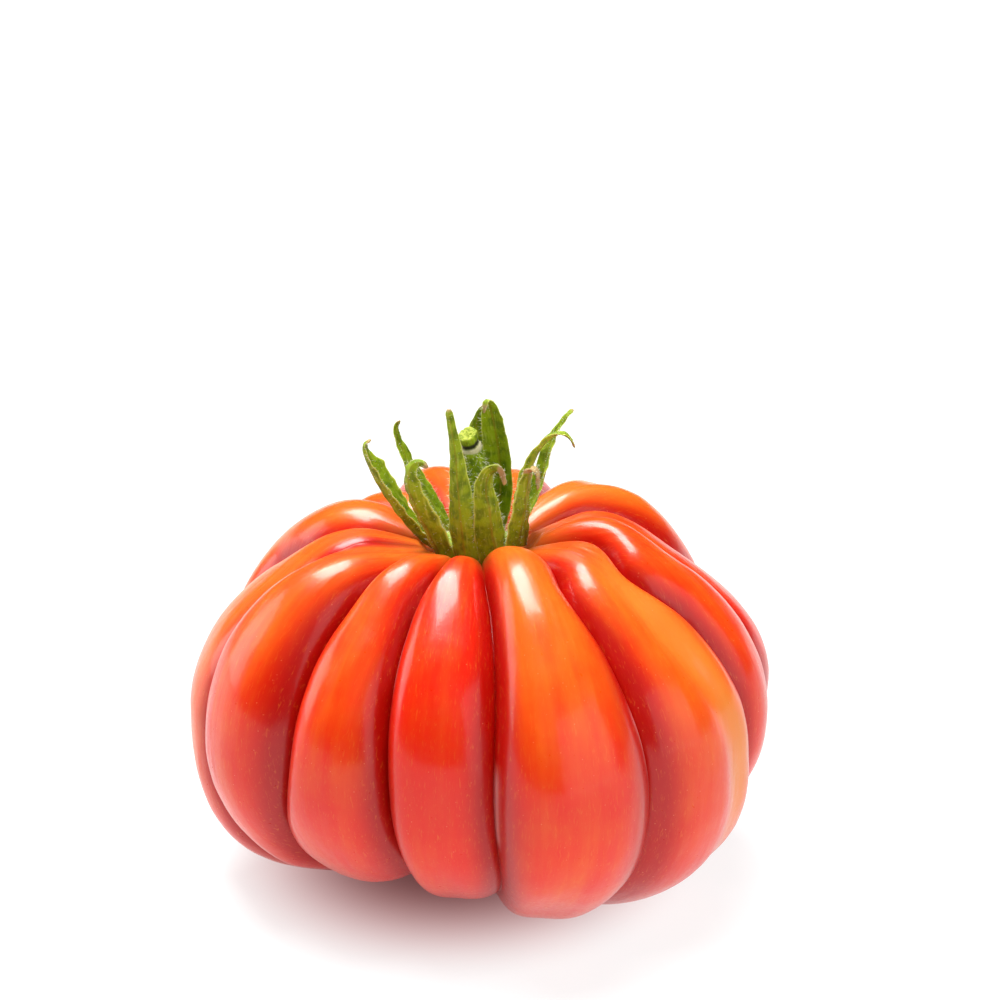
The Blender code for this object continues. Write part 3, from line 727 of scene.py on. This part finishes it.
def curve_point(points, place):
    """A point of a smooth curve through the given points, which are at place 0, 1, 2 and so on."""
    i = min(int(place), len(points) - 2)
    f = place - i
    before, here = Vector(points[max(i - 1, 0)]), Vector(points[i])
    after, beyond = Vector(points[i + 1]), Vector(points[min(i + 2, len(points) - 1)])
    leaving = (after - before) / 2 * (f ** 3 - 2 * f ** 2 + f)
    arriving = (beyond - here) / 2 * (f ** 3 - f ** 2)
    return here.lerp(after, float(smooth_step(f))) + leaving + arriving


def even_steps(points, count):
    """Points at equal distances along the smooth curve, both ends included, and its length."""
    samples = 200
    fine = [curve_point(points, (len(points) - 1) * k / samples) for k in range(samples + 1)]
    lengths = np.cumsum([0.0] + [(b - a).length for a, b in zip(fine, fine[1:])])
    wanted = np.linspace(0.0, lengths[-1], count + 1)
    places = [Vector([np.interp(w, lengths, [p[axis] for p in fine]) for axis in range(3)]) for w in wanted]
    return places, lengths[-1]


def sepal_frames(sepal):
    """Middle, sideways, outward and forward directions at each step, carried along the midrib."""
    azimuth = math.radians(sepal.azimuth)
    outward = Vector((math.sin(azimuth), -math.cos(azimuth), 0.0))
    seat = Vector((AXIS_X, AXIS_Y, SEAT_HEIGHT))
    middles, length = even_steps(sepal.spine, SEPAL_STEPS_ALONG)
    frames = []
    for step, middle in enumerate(middles):
        along = middles[min(step + 1, SEPAL_STEPS_ALONG)] - middles[max(step - 1, 0)]
        along.normalize()
        outward = (outward - along * outward.dot(along)).normalized()
        turn = Matrix.Rotation(math.radians(sepal.twist) * step / SEPAL_STEPS_ALONG, 3, along)
        facing = turn @ outward
        frames.append((seat + middle * MM, along.cross(facing), facing, along))
    return frames, length


def margin_wave(run, seed, which):
    """How far a blade's margin waves outwards at a distance along it, as a share of the wave's height."""
    return sum(share * math.sin(run * pace + seed * for_sepal + for_side * which)
               for share, pace, for_sepal, for_side in MARGIN_WAVES)


def sepal_rows(sepal, seed):
    """Rings of points round the blade, from foot to tip, and what its colour follows."""
    frames, length = sepal_frames(sepal)
    rows, fields = [], {key: [] for key in ("margin", "rib", "along", "across", "dried")}
    for step, (middle, sideways, outward, _) in enumerate(frames):
        t = step / SEPAL_STEPS_ALONG
        run = t * length
        halves = [np.interp(t, SEPAL_WIDTH_STATIONS, shares) * SEPAL_FULLNESS * MM
                  for shares in (sepal.lefts, sepal.rights)]
        thin = SEPAL_THINNEST + (1 - SEPAL_THINNEST) * min(min(halves) / SEPAL_FULL_FROM, 1.0)
        dried = float(smooth_step((t - sepal.dried) / DRYING_RUN))
        closing = math.sqrt(1 - max((t - TIP_CLOSES_FROM) / TIP_CLOSING_RUN, 0.0) ** 2 * TIP_CLOSING)
        ring, ring_fields = [], {key: [] for key in fields}
        for k in range(SEPAL_STEPS_ROUND):
            turn = 2 * math.pi * k / SEPAL_STEPS_ROUND
            across, side = math.cos(turn), math.sin(turn)
            which = 0 if across < 0 else 1
            half = float(halves[which]) * closing
            fold = math.radians(sepal.folds[which]) * (1 - t ** 4)
            rib = math.exp(-(across / MIDRIB_WIDTH) ** 2)
            rough = noise.noise(Vector((across * 1.6, run * 0.6, seed * 7.3)))
            crumple = noise.noise(Vector((across * 2.2, run * 1.9, seed * 3.1))) * dried
            out = side * SEPAL_THICKNESS / 2 * thin
            out -= abs(across) ** SEPAL_CURL_POWER * half * math.sin(fold)
            out += margin_wave(run, seed, which) * abs(across) ** 3 * MARGIN_WAVE * min(half / MM, 1.0)
            out += rough * BLADE_ROUGHNESS + crumple * DRIED_CRUMPLE + rib * MIDRIB_HEIGHT * thin
            uneven = noise.noise(Vector((run * 0.9, seed * 5.0, 2.0 + 7.0 * which)))
            torn = noise.noise(Vector((run * 1.8, seed * 4.0, 3.0 + 5.0 * which)))
            edge = 1 + EDGE_UNEVENNESS * uneven + DRIED_EDGE_UNEVENNESS * dried * torn
            point = middle + sideways * across * half * math.cos(fold) * edge + outward * out * closing
            ring.append(point)
            ring_fields["margin"].append(abs(across))
            ring_fields["rib"].append(rib)
            ring_fields["along"].append(run)
            ring_fields["across"].append(across * half / MM + seed * SEPAL_GRAIN_SPACING)
            ring_fields["dried"].append(dried)
        rows.append([tuple(point) for point in ring])
        for key in fields:
            fields[key].append(ring_fields[key])
    return rows, {key: np.array(values) for key, values in fields.items()}


def add_hair(bm, root, direction, length):
    """A three-sided spike whose root is sunk a little into what it grows from."""
    direction = direction.normalized()
    side = direction.orthogonal().normalized()
    other = direction.cross(side)
    base = []
    for k in range(3):
        turn = 2 * math.pi * k / 3
        ring = side * math.cos(turn) + other * math.sin(turn)
        base.append(bm.verts.new(root - direction * HAIR_ROOT + ring * HAIR_RADIUS))
    tip = bm.verts.new(root + direction * length)
    for k in range(3):
        bm.faces.new((base[k], base[(k + 1) % 3], tip))
    bm.faces.new(reversed(base))


def make_sepals(surface):
    """Each sepal as a piece of its own; the first one stands for the whole calyx node."""
    for seed, sepal in enumerate(SEPALS):
        rows, fields = sepal_rows(sepal, seed)
        mesh = loft("sepal_" + sepal.name, rows, fields)
        replaced = ("calyx",) if seed == 0 else ()
        piece("sepal_" + sepal.name, mesh, surface, "sepals", *replaced)


def make_sepal_hairs(surface):
    """Bristles along the margins, and a thin down on both faces."""
    random = np.random.default_rng(5)
    bm = bmesh.new()
    for seed, sepal in enumerate(SEPALS):
        rows, _ = sepal_rows(sepal, seed)
        frames, _ = sepal_frames(sepal)
        for step in range(1, SEPAL_STEPS_ALONG - 1):
            _, sideways, outward, along = frames[step]
            for k, way in ((0, sideways), (SEPAL_STEPS_ROUND // 2, -sideways)):
                if random.random() < MARGIN_HAIRS_MISSING:
                    continue
                root = Vector(rows[step][k]).lerp(Vector(rows[step + 1][k]), random.random())
                lean = along * random.normal(0.1, 0.4) + outward * random.normal(-0.2, 0.4)
                add_hair(bm, root, way + lean, random.uniform(*MARGIN_HAIR_LENGTHS) * MM)
            for _ in range(DOWN_HAIRS_PER_STEP):
                k = int(random.integers(1, SEPAL_STEPS_ROUND))
                side = 1 if k < SEPAL_STEPS_ROUND / 2 else -1
                lean = sideways * random.normal(0, 0.5) + along * random.normal(0.2, 0.4)
                length = random.uniform(*DOWN_LENGTHS) * MM
                add_hair(bm, Vector(rows[step][k]), outward * side + lean, length)
    mesh = mesh_from("sepal_hairs", bm)
    piece("sepal_hairs", mesh, surface, "sepals")


def make_seat(surface):
    """The round green seat that the sepals grow from, sunk in the hollow and ridged at each sepal."""
    bm = bmesh.new()
    bmesh.ops.create_uvsphere(bm, u_segments=SEAT_SIDES, v_segments=SEAT_RINGS, radius=1.0)
    for vert in bm.verts:
        azimuth = math.degrees(math.atan2(vert.co.x, -vert.co.y))
        turns = [(azimuth - sepal.azimuth + 180) % 360 - 180 for sepal in SEPALS]
        ridge = max(math.exp(-(turn / SEAT_RIDGE_WIDTH) ** 2) for turn in turns)
        reach = SEAT_RADIUS * (SEAT_REACH + SEAT_RIDGE * ridge)
        dent = SEAT_DENT * noise.noise(vert.co * 4.0)
        vert.co = Vector((vert.co.x * reach, vert.co.y * reach, vert.co.z * SEAT_HALF_THICKNESS + dent))
        vert.co += Vector((AXIS_X, AXIS_Y, SEAT_HEIGHT))
    mesh = mesh_from("calyx_seat", bm)
    for name in ("margin", "rib", "dried", "across", "along"):
        value = SEAT_COLOUR_PLACE if name == "along" else 0.0
        float_field(mesh, name, np.full(len(mesh.vertices), value))
    piece("calyx_seat", mesh, surface, "sepals")


def stalk_radius(depth):
    """The stem's radius at a depth below the dried ring, in millimetres."""
    below = STEM_PROFILE[STALK_FROM:]
    return float(np.interp(depth, [row[1] for row in below], [row[0] for row in below]))


def stem_point(radius, turn, height):
    """A place on the stem, which is slightly ribbed and leans to the left towards its cut end."""
    share = height / STEM_HEIGHT
    ribbed = radius * sum((rise * math.sin(count * turn + start) for rise, count, start in STEM_RIBS), 1)
    x, y = ribbed * math.cos(turn), ribbed * math.sin(turn)
    lean = STEM_LEAN * share ** STEM_BEND_POWER
    foot = SEAT_HEIGHT + SEAT_HALF_THICKNESS
    near_top = float(smooth_step((share - STEM_TILTS_FROM) / STEM_TILT_RUN))
    tilt = (y * math.tan(CUT_TILT) + x * math.tan(RING_TILT)) * near_top
    return Vector((AXIS_X + x - lean, AXIS_Y + y, foot + height + tilt))


def make_stem(surface):
    """The stub from its cut end down, with its dried ring and the gap over it, darkened with painted shade.
    """
    rows, fields = [], {key: [] for key in ("ring", "gap", "pith", "along", "across")}
    upper = list(STEM_PROFILE[:STALK_FROM + 1])
    lower = [(stalk_radius(depth), float(depth)) for depth in np.linspace(*STALK_DEPTHS, STALK_RINGS)]
    for radius, depth in upper + lower:
        ring = []
        values = {key: [] for key in fields}
        for k in range(STEM_SIDES):
            turn = 2 * math.pi * k / STEM_SIDES
            rough = noise.noise(Vector((math.cos(turn) * 2, math.sin(turn) * 2, depth * 0.8)))
            fine = noise.noise(Vector((math.cos(turn) * 6, math.sin(turn) * 6, depth * 2.0)))
            height = max(STEM_HEIGHT - depth * MM + (rough * 0.10 + fine * 0.05) * MM * (radius > 0.3), 0.0)
            ring.append(tuple(stem_point(radius * MM * (1 + 0.05 * rough + 0.03 * fine), turn, height)))
            values["ring"].append(float(RING_DEPTHS[0] < depth < RING_DEPTHS[1]) * (0.8 + 0.2 * fine))
            in_gap = float(smooth_step((depth - GAP_FROM) / GAP_RUN)) * float(depth < RING_DEPTHS[0])
            values["gap"].append(in_gap)
            in_pith = float(smooth_step((PITH_RADIUS - radius) / PITH_RIM)) * float(depth < PITH_DEPTH)
            values["pith"].append(in_pith)
            values["along"].append(depth)
            values["across"].append(turn * 2.0)
        rows.append(ring)
        for key in fields:
            fields[key].append(values[key])
    mesh = loft("stem_stub", rows, {key: np.array(values) for key, values in fields.items()})
    piece("stem_stub", mesh, surface, "stem", "stem")


def make_stem_hairs(surface):
    """Bristles all over the stem below its ring, and in the bowl of the calyx round it."""
    random = np.random.default_rng(9)
    bm = bmesh.new()
    for _ in range(STEM_HAIRS):
        depth = random.uniform(*STEM_HAIR_DEPTHS)
        turn = random.uniform(0, 2 * math.pi)
        root = stem_point(stalk_radius(depth) * MM, turn, STEM_HEIGHT - depth * MM)
        way = Vector((math.cos(turn), math.sin(turn), random.normal(-0.05, 0.3)))
        way += Vector((random.normal(0, 0.25), random.normal(0, 0.25), 0.0))
        add_hair(bm, root, way, random.uniform(*STEM_HAIR_LENGTHS) * MM)
    for _ in range(BOWL_HAIRS):
        turn = random.uniform(0, 2 * math.pi)
        radius = random.uniform(*BOWL_HAIR_RADII) * MM
        dome = SEAT_HALF_THICKNESS * math.sqrt(1 - (radius / (SEAT_RADIUS * BOWL_REACH)) ** 2)
        x, y = AXIS_X + radius * math.cos(turn), AXIS_Y + radius * math.sin(turn)
        way = Vector((random.normal(0, 0.45), random.normal(0, 0.45), 1.0))
        add_hair(bm, Vector((x, y, SEAT_HEIGHT + dome)), way, random.uniform(*BOWL_HAIR_LENGTHS) * MM)
    mesh = mesh_from("stem_hairs", bm)
    piece("stem_hairs", mesh, surface, "stem")


def make_camera():
    """Looks down on the fruit so that its aim lands on the aim pixel, with no shift of the lens."""
    aside = (AIM_PIXEL[0] - FRAME_PIXELS / 2) / FOCAL_PIXELS
    below = (AIM_PIXEL[1] - FRAME_PIXELS / 2) / FOCAL_PIXELS
    back = Vector((0.0, -math.cos(CAMERA_ELEVATION), math.sin(CAMERA_ELEVATION)))
    camera = bpy.data.objects.new("camera", bpy.data.cameras.new("camera"))
    camera.location = CAMERA_AIM + back * CAMERA_DISTANCE
    pitch = CAMERA_ELEVATION - math.atan(below)
    camera.rotation_euler = (math.pi / 2 - pitch, 0.0, math.atan(aside))
    camera.data.sensor_width = SENSOR_MM
    camera.data.lens = FOCAL_PIXELS * SENSOR_MM / FRAME_PIXELS
    camera.data.clip_start = 0.01
    bpy.context.scene.collection.objects.link(camera)
    bpy.context.scene.camera = camera


def area_light(name, place, size, power, shows_in_gloss):
    """A soft box at a place, facing the fruit."""
    lamp = bpy.data.lights.new(name, "AREA")
    lamp.shape = "RECTANGLE"
    lamp.size, lamp.size_y = size
    lamp.energy = power
    made = bpy.data.objects.new(name, lamp)
    made.location = place
    made.rotation_euler = (CAMERA_AIM - Vector(place)).to_track_quat("-Z", "Y").to_euler()
    made.visible_glossy = shows_in_gloss
    bpy.context.scene.collection.objects.link(made)


# The floor: its two near greys, and how strongly it glows under the fruit, dimmed there as a painted
# shadow, and away from it, with a painted red bounce of light from the fruit near it
FLOOR_SIDE = 8.0
FLOOR_GREYS = ((0.17, 0.17, 0.169), (0.18, 0.18, 0.179))
FLOOR_GLOW_AND_PAINTED_SHADOW = (0.13, 0.87)
PAINTED_SHADOW_FROM = 8 * MM
PAINTED_SHADOW_TO = 43 * MM
PAINTED_SHADOW_CENTRE = (-6 * MM, 0.0, 0.0)
PAINTED_RED_BOUNCE = (1.0, 0.42, 0.42)
FAR_GLOW = (1.0, 1.0, 1.0)

# The world's light: from which to which part of a direction it changes, and from which to which strength
WORLD_UP = (0.15, 0.95, 0.10, 1.35)
WORLD_BACK = (0.10, 0.80, 0.0, 0.45)

# Soft boxes: place and size in metres, power in watts, and whether glossy skin mirrors them
SOFT_BOXES = (
    ("overhead_box", (-0.30, 0.80, 2.90), (1.60, 2.40), 215.0, True),
    ("front_fill", (0.10, -1.30, 0.90), (1.20, 0.80), 6.5, False),
    ("left_box", (-0.75, 0.20, 0.30), (0.50, 0.50), 2.6, True),
    ("right_box", (0.60, -0.52, 0.26), (0.85, 0.55), 2.2, True),
)


def floor_material():
    """White paper that glows, least of all under the fruit, where its dimmer, reddened light is a painted
    shadow with a painted red bounce.
    """
    g = Graph("floor_white")
    shade = g.noise(g.place(600.0), detail=1.0)
    g.set(Base_Color=g.mix(shade, *FLOOR_GREYS), Roughness=0.7)
    away = g.node("VectorMath", operation="DISTANCE")
    g.put(away.inputs[0], g.node("TexCoord").outputs["Object"])
    away.inputs[1].default_value = PAINTED_SHADOW_CENTRE
    distance = away.outputs["Value"]
    # Painted shadow: the floor's glow is weakest under the fruit and reddened there as painted bounce light
    glow = g.span(distance, PAINTED_SHADOW_FROM, PAINTED_SHADOW_TO, *FLOOR_GLOW_AND_PAINTED_SHADOW)
    bounce_colour = g.mix(g.span(distance, PAINTED_SHADOW_FROM, PAINTED_SHADOW_TO), PAINTED_RED_BOUNCE, FAR_GLOW)
    g.set(Specular_IOR_Level=0.2, Emission_Color=bounce_colour, Emission_Strength=glow)
    return g.material


def make_world():
    """Bright overhead, less so behind the fruit, and dim on the camera's side."""
    world = bpy.data.worlds.new("studio")
    bpy.context.scene.world = world
    world.use_nodes = True
    tree = world.node_tree
    split = tree.nodes.new("ShaderNodeSeparateXYZ")
    tree.links.new(tree.nodes.new("ShaderNodeTexCoord").outputs["Generated"], split.inputs[0])

    def fade(socket, numbers):
        made = tree.nodes.new("ShaderNodeMapRange")
        made.interpolation_type = "SMOOTHSTEP"
        for name, number in zip(("From Min", "From Max", "To Min", "To Max"), numbers):
            made.inputs[name].default_value = number
        tree.links.new(split.outputs[socket], made.inputs["Value"])
        return made.outputs[0]

    total = tree.nodes.new("ShaderNodeMath")
    total.operation = "ADD"
    tree.links.new(fade("Z", WORLD_UP), total.inputs[0])
    tree.links.new(fade("Y", WORLD_BACK), total.inputs[1])
    tree.links.new(total.outputs[0], tree.nodes["Background"].inputs["Strength"])


def make_studio():
    bpy.ops.mesh.primitive_plane_add(size=FLOOR_SIDE, location=(0.0, 0.0, 0.0))
    floor = bpy.context.object
    floor.name = "floor"
    floor.data.materials.append(floor_material())
    make_world()
    for box in SOFT_BOXES:
        area_light(*box)
    bpy.context.scene.view_settings.view_transform = "Standard"


make_camera()
make_studio()
make_skin()
leaf = sepal_material()
hair = hair_material()
make_sepals(leaf)
make_seat(leaf)
make_sepal_hairs(hair)
make_stem(stem_material())
make_stem_hairs(hair)
